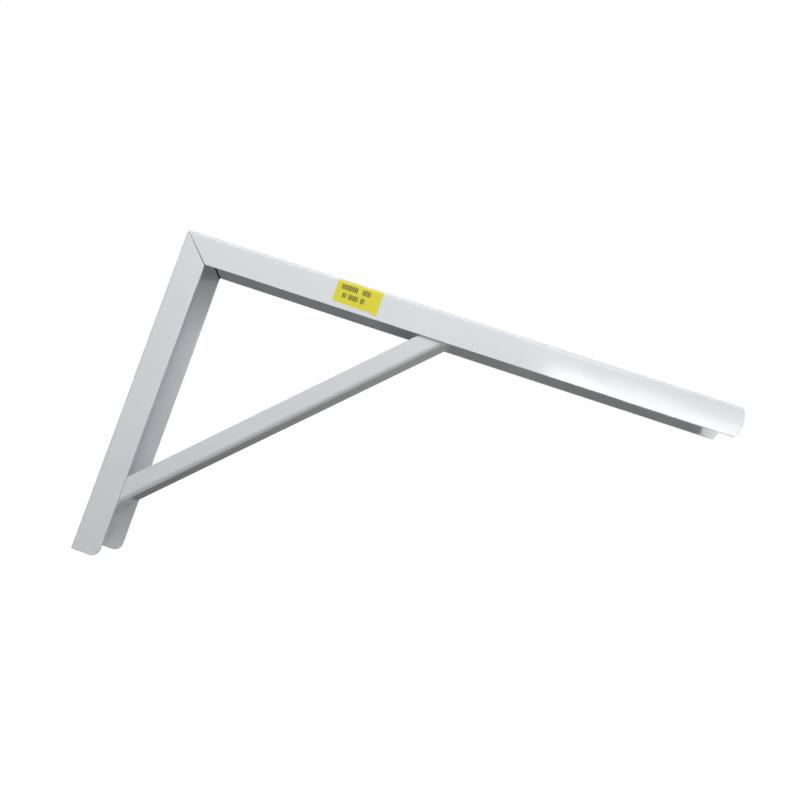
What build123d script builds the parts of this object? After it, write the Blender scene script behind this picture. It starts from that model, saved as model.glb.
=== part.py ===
from build123d import *
import os
from math import atan2, cos, hypot, sin

# Welded steel shelf bracket, in millimetres: a folded channel frame (wall arm and shelf arm), a channel
# strut welded across its inside, and a load label.
#
# +X runs out from the wall along the shelf arm, +Z is up and Y runs across the channel. The wall plane is
# x = 0, and the origin is the middle screw hole of the wall arm.

# Frame: one strip of sheet folded into a channel, notched and bent round at the corner
shelf_length = 500.0         # wall plane to the free end of the shelf arm's web
wall_length = 300.0          # shelf plane to the lower end of the wall arm
channel_width = 45.0         # outside width across both flanges
flange_depth = 26.5          # outside depth of both arms
sheet = 2.0                  # thickness of the frame's sheet
fold_inside = 2.0            # inside radius of the long folds
corner_inside = 2.2          # inside radius of the web where it bends from one arm to the other
shelf_end_bulge = 3.4        # how far the arc at the end of its flanges reaches past the web
toe_radius = 8.0             # round on the inner corner of the wall arm's lower end
front_notch_gap = 0.8        # mitre gap in the -Y flange, at the inner corner
rear_notch_gap = 1.6         # groove on the inner side of the +Y flange's mitre, at the inner corner
rear_groove_depth = 1.4
rear_slit_gap = 0.3          # mitre gap through the rest of the +Y flange, at the inner corner
notch_tip_gap = 0.24         # width of every mitre cut at the outer corner
rim_round = 0.4              # softened edges of the sheet

# Screw holes in the webs
wall_hole_diameter = 9.0
wall_hole_count = 3
wall_hole_from_top = 40.0    # shelf plane to the highest hole
wall_hole_from_toe = 20.0    # lower end of the wall arm to the lowest hole
shelf_hole_diameter = 6.5
shelf_hole_count = 4
shelf_hole_margin = 40.0     # wall plane, or the free end of the web, to the nearest hole

# Strut: a smaller channel that opens towards the corner of the frame
strut_foot = 226.0           # shelf plane to where its upper edge enters the wall arm
strut_head = 228.0           # wall plane to where its upper edge enters the shelf arm
strut_height = 17.2
strut_sheet = 2.0
strut_fold_inside = 2.5
strut_end_clearance = 0.5    # from its ends to where the inside of the frame's folds begins

# Weld beads: lap welds where the strut's upper edges lie against the flanges
weld_setback = 0.1           # how far the bead stays back from the inner side of the strut's sheet
weld_margin = 3.0            # from the mouth of the channel, and from the inside of its folds

# Label: thin film on the -Y flange, wrapped a little over the long fold
label_from_wall = 146.2
label_length = 41.4
label_from_top = 1.7
label_height = 21.0
label_thickness = 0.15

overrun = 10.0               # how far cutting tools run past what they cut
on_plane = 1e-4              # tolerance for finding edges on a plane

fold_outside = fold_inside + sheet
corner_outside = corner_inside + sheet
inner_width = channel_width - 2 * sheet
wall_hole_span = wall_length - wall_hole_from_top - wall_hole_from_toe
shelf_hole_span = shelf_length - 2 * shelf_hole_margin
top = wall_hole_from_top + wall_hole_span / 2
bottom = top - wall_length
mouth_z = top - flange_depth
strut_width = inner_width    # its sides lie flat against the flanges
weld_leg = strut_sheet - weld_setback
strut_angle = atan2(strut_foot - flange_depth, strut_head - flange_depth)


def side_prism(outline, width):
    """Solid of a closed side outline in the XZ plane, centred on y = 0."""
    return extrude(Plane.XZ * make_face(outline), amount=width / 2, both=True)


def bent_block(outset, extra):
    """The channel as if it were full, grown by outset on its outer sides, with extra at ends and mouth."""
    left = -outset
    high = top + outset
    end = shelf_length + shelf_end_bulge + extra
    width = channel_width + 2 * outset
    outline = Polyline(
        (left, bottom - extra),
        (left, high),
        (end, high),
        (end, mouth_z - extra),
        (flange_depth + extra, mouth_z - extra),
        (flange_depth + extra, bottom - extra),
        close=True,
    )
    block = side_prism(outline, width)
    corner = block.edges().filter_by(Axis.Y).sort_by_distance((left, 0, high))[0]
    block = fillet(corner, corner_outside + outset)

    def on_outer_side(edge):
        across = abs(abs((edge @ 0.5).Y) - width / 2) < on_plane
        return across and all(min(abs(v.X - left), abs(v.Z - high)) < on_plane for v in edge.vertices())

    return fillet(block.edges().filter_by(on_outer_side), fold_outside + outset)


def arm_ends():
    """Side outline that gives the arms their ends: an arc on the shelf arm, a rounded toe on the wall arm."""
    sides = Polyline(
        (shelf_length, mouth_z),
        (flange_depth, mouth_z),
        (flange_depth, bottom + toe_radius),
    )
    toe = RadiusArc((flange_depth, bottom + toe_radius), (flange_depth - toe_radius, bottom), toe_radius)
    backs = Polyline(
        (flange_depth - toe_radius, bottom),
        (0, bottom),
        (0, top),
        (shelf_length, top),
    )
    tip = (shelf_length + shelf_end_bulge, top - flange_depth / 2)
    nose = ThreePointArc((shelf_length, top), tip, (shelf_length, mouth_z))
    return side_prism(Wire([*sides.edges(), *toe.edges(), *backs.edges(), *nose.edges()]), channel_width)


def is_rim(edge):
    """True for the free edges of the flanges, along the mouth of both arms and around their ends."""
    middle = edge @ 0.5
    on_flange = min(abs(abs(middle.Y) - half) for half in (channel_width / 2, inner_width / 2)) < on_plane
    on_fold = min(abs(middle.Z - top + fold_outside), abs(middle.X - fold_outside)) < on_plane
    return on_flange and not on_fold


def notch(side, gap, reach):
    """Slit along the mitre of one flange, wider inwards, from the inside of its fold outwards by reach."""
    diagonal = hypot(flange_depth, flange_depth)
    far = diagonal + overrun
    tip_half = notch_tip_gap / 2
    far_half = tip_half + (gap / 2 - tip_half) * far / diagonal
    wedge = Polyline(
        (-overrun, -tip_half),
        (0, -tip_half),
        (far, -far_half),
        (far, far_half),
        (0, tip_half),
        (-overrun, tip_half),
        close=True,
    )
    fold_start = side * (channel_width / 2 - fold_outside)
    mitre = Plane(origin=(0, fold_start, top), x_dir=(1, 0, -1), z_dir=(0, side, 0))
    return extrude(mitre * make_face(wedge), amount=reach)


def hole_places():
    """Centre of each screw hole, evenly spaced: the wall arm's down the wall, the shelf arm's outwards."""
    wall_step = wall_hole_span / (wall_hole_count - 1)
    shelf_step = shelf_hole_span / (shelf_hole_count - 1)
    wall = [Pos(0, 0, top - wall_hole_from_top - i * wall_step) for i in range(wall_hole_count)]
    shelf = [Pos(shelf_hole_margin + i * shelf_step, 0, top) for i in range(shelf_hole_count)]
    return wall, shelf


def make_frame():
    """Both arms in one piece: a channel with notched flanges, its web bent round at the corner."""
    frame = bent_block(0, 0) - bent_block(-sheet, overrun)
    frame = frame & arm_ends()
    frame = fillet(frame.edges().filter_by(is_rim), rim_round)
    frame -= notch(-1, front_notch_gap, fold_outside + overrun)
    frame -= notch(1, rear_slit_gap, fold_outside + overrun)
    frame -= notch(1, rear_notch_gap, fold_inside + rear_groove_depth)
    wall_places, shelf_places = hole_places()
    for place in wall_places:
        frame -= place * Rot(0, 90, 0) * Cylinder(wall_hole_diameter / 2, 4 * sheet)
    for place in shelf_places:
        frame -= place * Cylinder(shelf_hole_diameter / 2, 4 * sheet)
    return frame


def strut_plane(x, z):
    """Section plane of the strut at a point of its upper edge: x across, y towards the frame's corner."""
    return Plane(origin=(x, 0, z), x_dir=(0, 1, 0), z_dir=(cos(strut_angle), 0, sin(strut_angle)))


def make_strut():
    """Folded channel between the arms, its ends cut parallel to the webs that they meet."""
    half = strut_width / 2
    skin = RectangleRounded(2 * half, 2 * strut_height, strut_fold_inside + strut_sheet)
    core = RectangleRounded(2 * half - 2 * strut_sheet, 2 * (strut_height - strut_sheet), strut_fold_inside)
    lower_half = Pos(0, -strut_height) * Rectangle(2 * strut_width, 2 * strut_height)
    section = (skin - core) & lower_half
    run = (strut_foot + strut_head) * 2
    strut = extrude(strut_plane(flange_depth, top - strut_foot) * section, amount=run, both=True)
    stop = sheet + fold_inside + strut_end_clearance
    room = Pos(stop, 0, top - stop) * Box(
        run,
        channel_width,
        run,
        align=(Align.MIN, Align.CENTER, Align.MAX),
    )
    return strut & room


def weld_bead(side, x, z, start, end):
    """Convex bead in the corner between a flange and the strut's upper edge, from start to end along it."""
    length = end - start
    bead = Cylinder(weld_leg, length) + Pos(0, 0, length / 2) * Sphere(weld_leg)
    bead += Pos(0, 0, -length / 2) * Sphere(weld_leg)
    quarter = Box(
        weld_leg,
        weld_leg,
        length + 2 * weld_leg,
        align=(Align.MAX if side > 0 else Align.MIN, Align.MIN, Align.CENTER),
    )
    place = strut_plane(x, z).location * Pos(side * inner_width / 2, 0, (start + end) / 2)
    return place * (bead & quarter)


def make_welds():
    """Two beads at each end of the strut, one on each flange."""
    inside = flange_depth - sheet - fold_inside
    foot_reach = inside / cos(strut_angle)
    head_reach = inside / sin(strut_angle)
    foot = []
    head = []
    for side in (-1, 1):
        foot.append(
            weld_bead(side, flange_depth, top - strut_foot, weld_margin - foot_reach, -weld_margin)
        )
        head.append(weld_bead(side, strut_head, mouth_z, weld_margin, head_reach - weld_margin))
    return Compound(children=foot), Compound(children=head)


def make_label():
    """Film that follows the flange's face and the start of the long fold above it."""
    film = bent_block(label_thickness, 0) - bent_block(0, 0)
    patch = Pos(label_from_wall, 0, top - label_from_top) * Box(
        label_length,
        channel_width,
        label_height,
        align=(Align.MIN, Align.MAX, Align.MAX),
    )
    return film & patch


foot_welds, head_welds = make_welds()
nodes = {
    "channel_frame": make_frame(),
    "strut": make_strut(),
    "strut_foot_welds": foot_welds,
    "strut_head_welds": head_welds,
    "load_label": make_label(),
}

os.makedirs("parts", exist_ok=True)
for name, shape in nodes.items():
    export_step(shape, f"parts/{name}.step")
    print(name, len(shape.solids()), round(shape.volume, 2), shape.is_valid)
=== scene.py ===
"""Finish, light and camera for the welded shelf bracket, around its CAD frame."""
import math

import bmesh
import bpy
import numpy as np
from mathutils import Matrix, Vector, noise


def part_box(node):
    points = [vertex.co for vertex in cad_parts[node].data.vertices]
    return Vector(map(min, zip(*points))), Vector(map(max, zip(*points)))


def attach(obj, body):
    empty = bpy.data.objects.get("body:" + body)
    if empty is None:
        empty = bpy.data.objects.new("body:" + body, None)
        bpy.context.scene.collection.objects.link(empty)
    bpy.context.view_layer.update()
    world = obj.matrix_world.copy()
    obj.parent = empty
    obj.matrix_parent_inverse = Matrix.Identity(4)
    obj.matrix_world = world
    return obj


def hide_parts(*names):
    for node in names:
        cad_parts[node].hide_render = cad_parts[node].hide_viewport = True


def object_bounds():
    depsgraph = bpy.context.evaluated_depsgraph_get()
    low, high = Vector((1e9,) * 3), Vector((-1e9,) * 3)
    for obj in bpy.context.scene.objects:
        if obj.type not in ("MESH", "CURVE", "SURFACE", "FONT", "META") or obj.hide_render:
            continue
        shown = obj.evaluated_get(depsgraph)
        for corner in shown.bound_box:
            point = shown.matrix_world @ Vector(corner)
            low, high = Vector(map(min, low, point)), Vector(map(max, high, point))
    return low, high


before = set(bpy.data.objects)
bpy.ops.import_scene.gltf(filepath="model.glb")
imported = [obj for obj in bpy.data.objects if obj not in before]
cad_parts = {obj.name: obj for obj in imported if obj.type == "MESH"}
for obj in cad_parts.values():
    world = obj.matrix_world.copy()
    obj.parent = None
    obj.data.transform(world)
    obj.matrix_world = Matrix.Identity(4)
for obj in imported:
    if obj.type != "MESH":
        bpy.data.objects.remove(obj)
cad_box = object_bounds()

MM = 0.001

# The frame's own sizes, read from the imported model
frame_low, frame_high = (Vector(v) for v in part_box("channel_frame"))
TOP = frame_high.z                       # plane of the shelf
FACE_Y = frame_low.y                     # outer side of the flange that carries the label
FLANGE_DEPTH = 26.5 * MM
FOLD_RADIUS = 4.0 * MM                   # outside radius of the long folds
MITRE_TIP_HALF = 0.12 * MM               # half width of the mitre gaps at the outer corner
FRONT_MITRE_HALF = 0.40 * MM             # and at the inner corner, on each flange
REAR_MITRE_HALF = 0.80 * MM
MITRE_TOLERANCE = 0.03 * MM
COATED_SKIN = 0.05 * MM                  # depth to which the coat does cover the gaps' walls
DIAGONAL = math.sqrt(0.5)

# ---------------------------------------------------------------- materials


class Nodes:
    """A new material's node tree, with short calls for adding and joining nodes."""

    def __init__(self, name):
        self.material = bpy.data.materials.new(name)
        self.material.use_nodes = True
        self.tree = self.material.node_tree
        self.shader = self.tree.nodes["Principled BSDF"]
        self.output = self.tree.nodes["Material Output"]

    def add(self, kind, **inputs):
        """Adds a node and sets its unlinked inputs by name."""
        node = self.tree.nodes.new(kind)
        for key, value in inputs.items():
            node.inputs[key.replace("_", " ").title()].default_value = value
        return node

    def place(self):
        """The point on the object, in metres."""
        return self.add("ShaderNodeTexCoord").outputs["Object"]

    def join(self, source, target):
        self.tree.links.new(source, target)

    def math(self, operation, *values):
        """Math node of sockets and numbers; returns its output."""
        node = self.tree.nodes.new("ShaderNodeMath")
        node.operation = operation
        for socket, value in zip(node.inputs, values):
            if isinstance(value, (int, float)):
                socket.default_value = value
            else:
                self.join(value, socket)
        return node.outputs[0]

    def noise(self, place, scale, detail=2.0, roughness=0.5):
        node = self.add("ShaderNodeTexNoise", scale=scale, detail=detail, roughness=roughness)
        self.join(place, node.inputs["Vector"])
        return node.outputs["Fac"]

    def spread(self, value, low, high, start=0.0, stop=1.0):
        """Maps value from start..stop to low..high."""
        ends = {"from_min": start, "from_max": stop, "to_min": low, "to_max": high}
        node = self.add("ShaderNodeMapRange", **ends)
        self.join(value, node.inputs["Value"])
        return node.outputs["Result"]

    def mix(self, factor, first, second):
        """Mixes two colours, each a tuple or a socket, by a factor from a socket."""
        node = self.tree.nodes.new("ShaderNodeMix")
        node.data_type = "RGBA"
        self.join(factor, node.inputs[0])
        for socket, colour in ((node.inputs[6], first), (node.inputs[7], second)):
            if isinstance(colour, tuple):
                socket.default_value = (*colour, 1)
            else:
                self.join(colour, socket)
        return node.outputs[2]

    def bump(self, height, distance, strength, under=None):
        node = self.add("ShaderNodeBump", strength=strength, distance=distance)
        self.join(height, node.inputs["Height"])
        if under is not None:
            self.join(under, node.inputs["Normal"])
        return node.outputs["Normal"]


def scaled(colour, factor):
    return tuple(min(c * factor, 1) for c in colour)


def mitre_shade_mask(n, place):
    """1 on the cut walls of the mitre gaps, which the coat doesn't reach, and 0 elsewhere. These
    walls get a near-black colour that stands for the shade deep in the gaps: painted shade.
    """
    split = n.tree.nodes.new("ShaderNodeSeparateXYZ")
    n.join(place, split.inputs[0])
    x, y, z = split.outputs
    drop = n.math("SUBTRACT", TOP, z)
    away = n.math("MULTIPLY", n.math("ABSOLUTE", n.math("SUBTRACT", x, drop)), DIAGONAL)
    along = n.math("MULTIPLY", n.math("ADD", x, drop), DIAGONAL)
    rear = n.math("GREATER_THAN", y, 0.0)
    reach = FLANGE_DEPTH / DIAGONAL
    front_rate = (FRONT_MITRE_HALF - MITRE_TIP_HALF) / reach
    rear_rate = (REAR_MITRE_HALF - MITRE_TIP_HALF) / reach
    rate = n.math("MULTIPLY_ADD", rear, rear_rate - front_rate, front_rate)
    half = n.math("MULTIPLY_ADD", along, rate, MITRE_TIP_HALF + MITRE_TOLERANCE)
    inside = n.math("LESS_THAN", away, half)
    across = n.math("ABSOLUTE", y)
    in_flange = n.math("GREATER_THAN", across, -FACE_Y - FOLD_RADIUS)
    below_skin = n.math("LESS_THAN", across, -FACE_Y - COATED_SKIN)
    return n.math("MULTIPLY", inside, n.math("MULTIPLY", in_flange, below_skin))


COAT_GLOSS = (0.07, 0.13)                # roughness at the low and the high of the film's slow noise
SPECK_SHARE = 0.12                       # how much of a speck's colour shows
# Near black on the uncoated walls of the mitre gaps: painted shade inside the gaps.
GAP_SHADE_BLACK = (0.012, 0.012, 0.012)

# Grain of the coat and of the label, as noise scales per metre
FILM_GRAIN, SPECK_GRAIN = 14.0, 900.0
FINE_GRAIN, PEEL_GRAIN, SWELL_GRAIN = 480.0, 170.0, 38.0
MOTTLE_GRAIN, FIBRE_GRAIN, CRINKLE_GRAIN = 160.0, 1500.0, 240.0


def powder_coat(name, colour, gaps=False):
    """Gloss powder coat: orange peel, slow swells, fine specks, slightly uneven gloss and a painted
    highlight on sharp edges.
    """
    n = Nodes(name)
    place = n.place()

    film = n.noise(place, FILM_GRAIN, 3.0)
    tint = n.mix(film, scaled(colour, 0.965), scaled(colour, 1.03))
    specks = n.spread(n.noise(place, SPECK_GRAIN, 1.0), 0.0, 1.0, 0.60, 0.78)
    tint = n.mix(n.math("MULTIPLY", specks, SPECK_SHARE), tint, scaled(colour, 0.6))
    # Lighter on sharp convex edges: a painted edge highlight.
    edges = n.add("ShaderNodeNewGeometry").outputs["Pointiness"]
    edge_highlight = n.spread(edges, 0.0, 0.35, 0.52, 0.62)
    tint = n.mix(edge_highlight, tint, scaled(colour, 1.06))
    gloss = n.spread(film, *COAT_GLOSS)
    # Walls of the mitre gaps painted near black and fully rough: painted shade inside the gaps.
    if gaps:
        gap_shade = mitre_shade_mask(n, place)
        tint = n.mix(gap_shade, tint, GAP_SHADE_BLACK)
        gloss = n.math("MAXIMUM", gloss, gap_shade)
    n.join(tint, n.shader.inputs["Base Color"])
    n.join(gloss, n.shader.inputs["Roughness"])

    fine = n.bump(n.noise(place, FINE_GRAIN), 0.05 * MM, 0.45)
    peel = n.bump(n.noise(place, PEEL_GRAIN), 0.12 * MM, 0.16, fine)
    swell = n.bump(n.noise(place, SWELL_GRAIN, 1.0), 0.4 * MM, 0.14, peel)
    n.join(swell, n.shader.inputs["Normal"])
    n.shader.inputs["IOR"].default_value = 1.5
    return n.material


def label_finish(name, colour, roughness, speckle):
    """Thin printed film or paper: slight mottling, fine fibres and a faint crinkle."""
    n = Nodes(name)
    place = n.place()
    mottle = n.noise(place, MOTTLE_GRAIN, 3.0, 0.6)
    tint = n.mix(mottle, scaled(colour, 1 - speckle), scaled(colour, 1 + speckle))
    n.join(tint, n.shader.inputs["Base Color"])
    n.join(n.spread(mottle, roughness - 0.06, roughness + 0.06), n.shader.inputs["Roughness"])
    fibre = n.bump(n.noise(place, FIBRE_GRAIN), 0.03 * MM, 0.3)
    crinkle = n.bump(n.noise(place, CRINKLE_GRAIN), 0.15 * MM, 0.25, fibre)
    n.join(crinkle, n.shader.inputs["Normal"])
    return n.material


COAT_COLOUR = (0.742, 0.757, 0.785)
YELLOW = (0.73, 0.655, 0.035)
PAPER = (0.84, 0.84, 0.82)
PRINT = (0.085, 0.055, 0.02)

frame_coat = powder_coat("frame_powder_coat", COAT_COLOUR, gaps=True)
# The strut's coat at 0.95 of the frame's colour: a shaded copy of the same coat, painted shade.
strut_shaded_coat = powder_coat("strut_powder_coat", scaled(COAT_COLOUR, 0.95))
# The beads' coat at 0.97 of the frame's colour: a shaded copy, painted shade in the corners where
# the beads sit.
weld_shaded_coat = powder_coat("weld_powder_coat", scaled(COAT_COLOUR, 0.97))
label_finishes = [
    label_finish("label_film", YELLOW, 0.42, 0.07),
    label_finish("label_paper", PAPER, 0.7, 0.03),
    label_finish("label_print", PRINT, 0.5, 0.2),
]


def dress(node, material):
    """Gives a CAD node one material."""
    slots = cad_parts[node].data.materials
    slots.clear()
    slots.append(material)


def add_piece(name, bm, materials, replaced=None, smooth=True):
    """Makes an object of bm that rides on the bracket and may stand for a CAD node."""
    mesh = bpy.data.meshes.new(name)
    bm.to_mesh(mesh)
    bm.free()
    for material in materials:
        mesh.materials.append(material)
    mesh.polygons.foreach_set("use_smooth", [smooth] * len(mesh.polygons))
    piece = bpy.data.objects.new(name, mesh)
    bpy.context.scene.collection.objects.link(piece)
    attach(piece, "root")
    if replaced:
        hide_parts(replaced)
    return piece


# ---------------------------------------------------------------- label

label_low, label_high = (Vector(v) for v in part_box("load_label"))

CELL = 0.25 * MM                         # mesh size of the film
STROKE, STROKE_STEP = 1.0 * MM, 1.5 * MM # width of the print's strokes, and from one to the next
FILM_THICKNESS = 0.07 * MM
SLANT = 1.3 * MM                         # how much lower the cut edge is at its outer end
RAGGED = 0.25 * MM                       # how far the cut edge wanders
PAPER_EDGE = 0.55 * MM                   # strip of backing that shows below the yellow

# A tear in the lower edge, placed in shares of the film's length, and the curl around it
TEAR_AT, TEAR_WIDTH, TEAR_DEPTH = 0.80, 0.055, 1.5 * MM
CURL_WIDTH = 0.16

# How far the film lifts off the flange, and the parts that its waves, folds and curl have in it
CRUMPLE = 0.10 * MM
WAVE_PART, FOLD_PART, CURL_PART = 0.35, 0.9, 1.6
FOLD_LEVEL = 0.3                         # noise below this level is a fold

# Print: two rows of plain upright strokes. Each has its top and bottom in shares of the film's
# height, and groups that start at and span these shares of its length
PRINT_ROWS = (
    (0.15, 0.38, ((0.11, 0.36), (0.56, 0.18))),
    (0.51, 0.74, ((0.16, 0.10), (0.30, 0.22), (0.58, 0.08))),
)


def label_point(along, down, lift):
    """Point of the film: along the arm, down from the film's top edge, and lifted off."""
    fold_z = TOP - FOLD_RADIUS
    start = math.asin((label_high.z - fold_z) / FOLD_RADIUS)
    angle = max(start - down / FOLD_RADIUS, 0)
    straight = max(down - start * FOLD_RADIUS, 0)
    radius = FOLD_RADIUS + lift
    y = FACE_Y + FOLD_RADIUS - radius * math.cos(angle)
    z = fold_z + radius * math.sin(angle) - straight
    return Vector((label_low.x + along, y, z))


def label_edge(share, height):
    """How far down the slanted, ragged and torn lower edge lies."""
    tear = TEAR_DEPTH * math.exp(-(((share - TEAR_AT) / TEAR_WIDTH) ** 2))
    tear *= 0.8 + 0.4 * noise.noise(Vector((share * 90, 3, 0)))
    ragged = RAGGED * noise.noise(Vector((share * 60, 0, 0)))
    return height - SLANT / 2 + SLANT * share - tear + ragged


def label_lift(share, fall, near_edge):
    """How far the film stands off, at shares of its length, its height and the way to its edge."""
    wave = noise.noise(Vector((share * 7, fall * 3, 1.7)))
    fold = abs(noise.noise(Vector((share * 5 + fall * 2, fall * 4, 9.2))))
    curl = math.exp(-(((share - TEAR_AT) / CURL_WIDTH) ** 2)) * near_edge ** 3
    rise = WAVE_PART * wave + FOLD_PART * (FOLD_LEVEL - fold) + CURL_PART * curl
    return min(FILM_THICKNESS + CRUMPLE * max(0, rise), FACE_Y - label_low.y)


def label_material(share, along, down, edge):
    """Index of the finish at a point of the film: print, backing strip or yellow."""
    if down > edge - PAPER_EDGE and share < TEAR_AT + TEAR_WIDTH:
        return 1
    for row_top, row_bottom, groups in PRINT_ROWS:
        in_row = row_top < down / edge < row_bottom
        in_group = any(start < share < start + span for start, span in groups)
        if in_row and in_group and along % STROKE_STEP < STROKE:
            return 2
    return 0


def make_label():
    """Yellow film with a slanted, slightly torn lower edge and shallow creases."""
    length = label_high.x - label_low.x
    height = label_high.z - label_low.z
    columns, rows = round(length / CELL), round(height / CELL)
    bm = bmesh.new()
    grid = []
    for i in range(columns + 1):
        share = i / columns
        edge = label_edge(share, height)
        column = []
        for j in range(rows + 1):
            down = edge * j / rows
            lift = label_lift(share, down / height, j / rows)
            column.append(bm.verts.new(label_point(share * length, down, lift)))
        grid.append(column)
    for i in range(columns):
        edge = label_edge(i / columns, height)
        share = (i + 0.5) / columns
        for j in range(rows):
            corners = (grid[i][j], grid[i][j + 1], grid[i + 1][j + 1], grid[i + 1][j])
            face = bm.faces.new(corners)
            down = edge * (j + 0.5) / rows
            face.material_index = label_material(share, share * length, down, edge)
    bmesh.ops.recalc_face_normals(bm, faces=bm.faces)
    piece = add_piece("label_film_sheet", bm, label_finishes, "load_label")
    skin = piece.modifiers.new("thickness", "SOLIDIFY")
    skin.thickness = FILM_THICKNESS * 0.8
    skin.offset = -1


# ---------------------------------------------------------------- weld beads

VOXEL = 0.22 * MM
RIPPLE_STEP = 1.5 * MM                   # from one ripple of a bead to the next
RIPPLE_HEIGHT = 0.13 * MM
WOBBLE = 1.2                             # how far ripples stray from even spacing, in radians
WOBBLE_GRAIN = 0.35                      # and the scale of that noise per mm


def make_weld(node):
    """Rippled beads grown from the CAD beads of one end of the strut."""
    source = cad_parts[node].data.copy()
    trial = bpy.data.objects.new(node + "_trial", source)
    bpy.context.scene.collection.objects.link(trial)
    remesh = trial.modifiers.new("voxels", "REMESH")
    remesh.mode = "VOXEL"
    remesh.voxel_size = VOXEL
    solid = trial.evaluated_get(bpy.context.evaluated_depsgraph_get()).to_mesh()
    bm = bmesh.new()
    bm.from_mesh(solid)
    bpy.data.objects.remove(trial)
    points = np.array([v.co for v in bm.verts])
    one_side = points[points[:, 1] < 0]
    axis = Vector(np.linalg.svd(one_side - one_side.mean(axis=0), full_matrices=False)[2][0])
    axes = {"use_axis_x": True, "use_axis_y": True, "use_axis_z": True}
    bmesh.ops.smooth_vert(bm, verts=bm.verts, factor=0.5, **axes)
    bm.normal_update()
    for vert in bm.verts:
        along = vert.co.dot(axis)
        wobble = WOBBLE * noise.noise(vert.co / MM * WOBBLE_GRAIN)
        ripple = 0.5 + 0.5 * math.sin(2 * math.pi * along / RIPPLE_STEP + wobble)
        vert.co += vert.normal * (RIPPLE_HEIGHT * (ripple - 0.5))
    add_piece(node + "_beads", bm, [weld_shaded_coat], node)


# ---------------------------------------------------------------- coat across the narrow rear slit

SLIT_HALF = 0.17 * MM                    # a little more than half the width of the rear slit
BRIDGE_START, BRIDGE_END = 5 * MM, 37 * MM         # along the mitre, from the outer corner
BRIDGE_INNER, BRIDGE_OUTER = 0.5 * MM, 0.03 * MM   # its two sides, in from the flange's outer face
BRIDGE_STEPS = 8


def make_bridge():
    """Powder coat that has closed the rear mitre's slit, as it does across such narrow gaps. Its
    inner side lies in the gap mask and takes the painted near-black shade, so the slit reads dark.
    """
    corners = ((-1, BRIDGE_INNER), (1, BRIDGE_INNER), (1, BRIDGE_OUTER), (-1, BRIDGE_OUTER))
    bm = bmesh.new()
    rings = []
    for step in range(BRIDGE_STEPS + 1):
        along = BRIDGE_START + (BRIDGE_END - BRIDGE_START) * step / BRIDGE_STEPS
        ring = []
        for side, inset in corners:
            x = (along + side * SLIT_HALF) * DIAGONAL
            z = TOP - (along - side * SLIT_HALF) * DIAGONAL
            ring.append(bm.verts.new((x, -FACE_Y - inset, z)))
        rings.append(ring)
    for one, other in zip(rings, rings[1:]):
        for k in range(4):
            bm.faces.new((one[k], one[(k + 1) % 4], other[(k + 1) % 4], other[k]))
    bm.faces.new(rings[0])
    bm.faces.new(rings[-1])
    bmesh.ops.recalc_face_normals(bm, faces=bm.faces)
    add_piece("rear_mitre_coat_and_shade", bm, [frame_coat], smooth=False)


dress("channel_frame", frame_coat)
dress("strut", strut_shaded_coat)
make_bridge()
make_label()
make_weld("strut_foot_welds")
make_weld("strut_head_welds")

# ---------------------------------------------------------------- stage

low, high = (Vector(v) for v in cad_box)
centre = (low + high) / 2

CAMERA_PLACE = (0.2751, -0.5925, 0.0291)
CAMERA_TURN = (93.328, -19.107, 4.767)   # in degrees
LENS, SENSOR = 30.23, 36                 # in mm
LENS_SHIFT = (0.0264, 0.0128)

FLOOR_SIZE = 60
FLOOR_DROP = 0.45                        # floor below the lowest point of the bracket
FLOOR_COLOUR = (0.45, 0.46, 0.42)
FLOOR_WHITE = (0.88, 1.0)                # what the floor adds towards white, seen or reflected,
FLOOR_GRADE = (0.9, 2.5)                 # at these distances: less light falls farther off

# Glowing card seen only in reflections: it paints a dark reflection onto the strut's underside,
# darker towards the strut's foot, a painted reflection and shade.
CARD_PLACE = (0.15, 0.3, -0.1)
CARD_SIZE = (0.66, 0.52)
CARD_SHADE_GREYS = (0.03, 0.26)                # brightness of the card towards the strut's foot and head,
CARD_GRADE = (-0.22, 0.18)               # and where the grade starts and stops across it

SURROUND_LEAN = (0.55, -0.35, 0.75)      # towards the surround's brightest part
SURROUND_GREYS = (0.06, 0.26)            # its brightness on the far side from there, and there
SURROUND_COLOUR = (0.97, 0.985, 1.0)

LAMP_POWER = 4                           # per square metre of a lamp, for a brightness of 1
AIM = (0.2, 0, 0.05)                     # where the fill lamps point

# Broad lamps without a reflection: name, place, aim, size, brightness
BROAD_LAMPS = (
    ("key_above", (0.12, -0.7, 0.82), (0.16, 0, 0.12), (1.1, 0.5), 3.65),
    ("fill_behind", (0.2, 1.5, 0.05), AIM, (1.4, 1.0), 2.1),
    ("fill_wall_side", (-1.3, 0.25, 0.1), AIM, (0.8, 0.8), 1.6),
)

# Lamps that the gloss of the coat shows near the shelf arm's free end, with their colour too
GLOSS_LAMPS = (
    ("window_right", (0.82, -1.5, 0.32), (0.82, 0, 0.32), (0.64, 0.24), 7.8, (0.96, 0.98, 1.0)),
    ("strip_high", (0.615, -1.5, 0.75), (0.615, 0, 0.75), (0.37, 0.20), 6.0, (1, 1, 1)),
)


def is_seen(tree):
    """1 for camera, glossy and transmission rays, 0 for the rays that carry light to the object."""
    path = tree.nodes.new("ShaderNodeLightPath")
    seen = path.outputs["Is Camera Ray"]
    for ray in ("Is Glossy Ray", "Is Transmission Ray"):
        either = tree.nodes.new("ShaderNodeMath")
        either.operation = "MAXIMUM"
        tree.links.new(seen, either.inputs[0])
        tree.links.new(path.outputs[ray], either.inputs[1])
        seen = either.outputs[0]
    return seen


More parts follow.
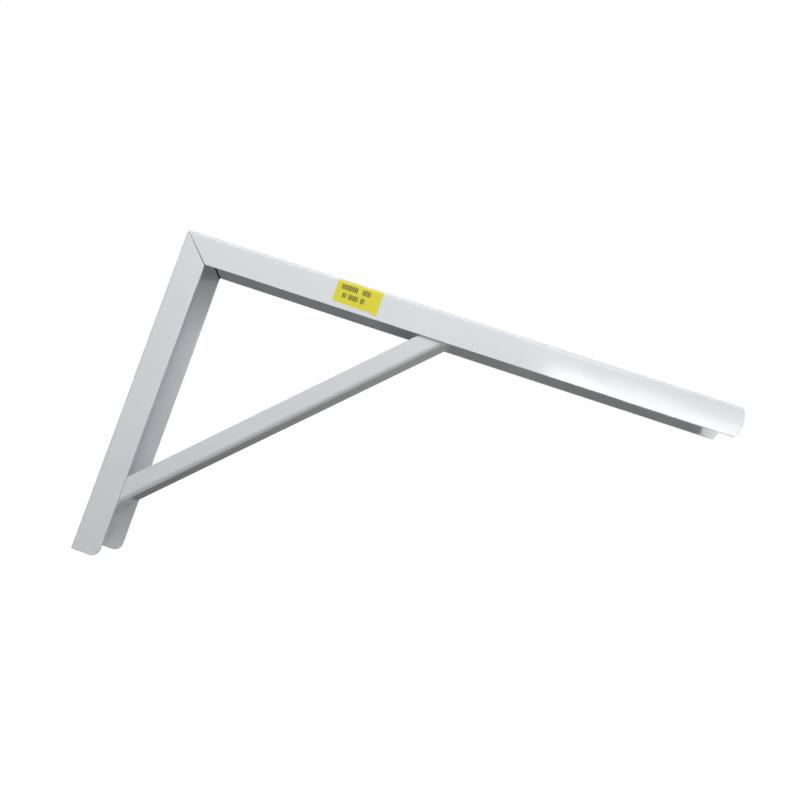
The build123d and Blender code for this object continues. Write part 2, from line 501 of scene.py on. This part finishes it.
def make_floor():
    """Floor well below the bracket, white to the eye apart from the bracket's soft shadow."""
    place = (centre.x, centre.y, low.z - FLOOR_DROP)
    bpy.ops.mesh.primitive_plane_add(size=FLOOR_SIZE, location=place)
    floor = bpy.context.object
    floor.name = "floor"
    n = Nodes("pale_floor")
    n.shader.inputs["Base Color"].default_value = (*FLOOR_COLOUR, 1)
    n.shader.inputs["Roughness"].default_value = 0.9
    n.shader.inputs["Specular IOR Level"].default_value = 0.1
    glow = n.add("ShaderNodeEmission")
    length = n.tree.nodes.new("ShaderNodeVectorMath")
    length.operation = "LENGTH"
    n.join(n.place(), length.inputs[0])
    white = n.spread(length.outputs["Value"], *FLOOR_WHITE, *FLOOR_GRADE)
    n.join(n.math("MULTIPLY", is_seen(n.tree), white), glow.inputs["Strength"])
    both = n.add("ShaderNodeAddShader")
    n.join(n.shader.outputs[0], both.inputs[0])
    n.join(glow.outputs[0], both.inputs[1])
    n.join(both.outputs[0], n.output.inputs["Surface"])
    floor.data.materials.append(n.material)


def make_world():
    """Soft surround, brighter above and to the right, and white to the eye."""
    world = bpy.data.worlds.new("surround")
    bpy.context.scene.world = world
    world.use_nodes = True
    tree = world.node_tree
    tree.nodes.clear()
    place = tree.nodes.new("ShaderNodeTexCoord")
    lean = tree.nodes.new("ShaderNodeVectorMath")
    lean.operation = "DOT_PRODUCT"
    lean.inputs[1].default_value = Vector(SURROUND_LEAN).normalized()
    tree.links.new(place.outputs["Generated"], lean.inputs[0])
    grade = tree.nodes.new("ShaderNodeMapRange")
    for key, value in zip(("From Min", "From Max", "To Min", "To Max"), (-1, 1, *SURROUND_GREYS)):
        grade.inputs[key].default_value = value
    tree.links.new(lean.outputs["Value"], grade.inputs["Value"])
    light = tree.nodes.new("ShaderNodeBackground")
    light.inputs["Color"].default_value = (*SURROUND_COLOUR, 1)
    tree.links.new(grade.outputs["Result"], light.inputs["Strength"])
    white = tree.nodes.new("ShaderNodeBackground")
    white.inputs["Color"].default_value = (1, 1, 1, 1)
    white.inputs["Strength"].default_value = 1.0
    mix = tree.nodes.new("ShaderNodeMixShader")
    tree.links.new(is_seen(tree), mix.inputs["Fac"])
    tree.links.new(light.outputs[0], mix.inputs[1])
    tree.links.new(white.outputs[0], mix.inputs[2])
    out = tree.nodes.new("ShaderNodeOutputWorld")
    tree.links.new(mix.outputs[0], out.inputs["Surface"])


def make_reflection_shade_card():
    """Glowing card behind the strut that only the gloss of the coat shows: a painted dark reflection
    on the strut's underside, darker towards its foot.
    """
    bpy.ops.mesh.primitive_plane_add(size=1, location=CARD_PLACE, rotation=(math.pi / 2, 0, 0))
    card = bpy.context.object
    card.name = "reflection_shade_card"
    card.scale = (*CARD_SIZE, 1)
    n = Nodes("painted_reflection_shade")
    split = n.tree.nodes.new("ShaderNodeSeparateXYZ")
    n.join(n.place(), split.inputs[0])
    glow = n.add("ShaderNodeEmission")
    n.join(n.spread(split.outputs["X"], *CARD_SHADE_GREYS, *CARD_GRADE), glow.inputs["Strength"])
    one_sided = n.add("ShaderNodeMixShader")
    n.join(n.add("ShaderNodeNewGeometry").outputs["Backfacing"], one_sided.inputs[0])
    n.join(glow.outputs[0], one_sided.inputs[1])
    n.join(n.add("ShaderNodeBsdfTransparent").outputs[0], one_sided.inputs[2])
    n.join(one_sided.outputs[0], n.output.inputs["Surface"])
    card.data.materials.append(n.material)
    card.visible_camera = False
    card.visible_diffuse = False
    card.visible_shadow = False


def soft_light(name, place, aim, size, brightness, colour=(1, 1, 1)):
    """Oblong area light at place, facing aim."""
    data = bpy.data.lights.new(name, "AREA")
    data.shape = "RECTANGLE"
    data.size, data.size_y = size
    data.energy = LAMP_POWER * brightness * size[0] * size[1]
    data.color = colour
    lamp = bpy.data.objects.new(name, data)
    bpy.context.scene.collection.objects.link(lamp)
    lamp.location = place
    lamp.rotation_euler = (Vector(aim) - Vector(place)).to_track_quat("-Z", "Y").to_euler()
    lamp.visible_camera = False
    return lamp


def make_lights():
    for values in BROAD_LAMPS:
        soft_light(*values).visible_glossy = False
    for values in GLOSS_LAMPS:
        soft_light(*values)


def make_camera():
    data = bpy.data.cameras.new("camera")
    data.sensor_width = SENSOR
    data.lens = LENS
    data.shift_x, data.shift_y = LENS_SHIFT
    camera = bpy.data.objects.new("camera", data)
    bpy.context.scene.collection.objects.link(camera)
    camera.location = CAMERA_PLACE
    camera.rotation_euler = [math.radians(angle) for angle in CAMERA_TURN]
    bpy.context.scene.camera = camera


make_floor()
make_reflection_shade_card()
make_world()
make_lights()
make_camera()
bpy.context.scene.view_settings.view_transform = "Standard"
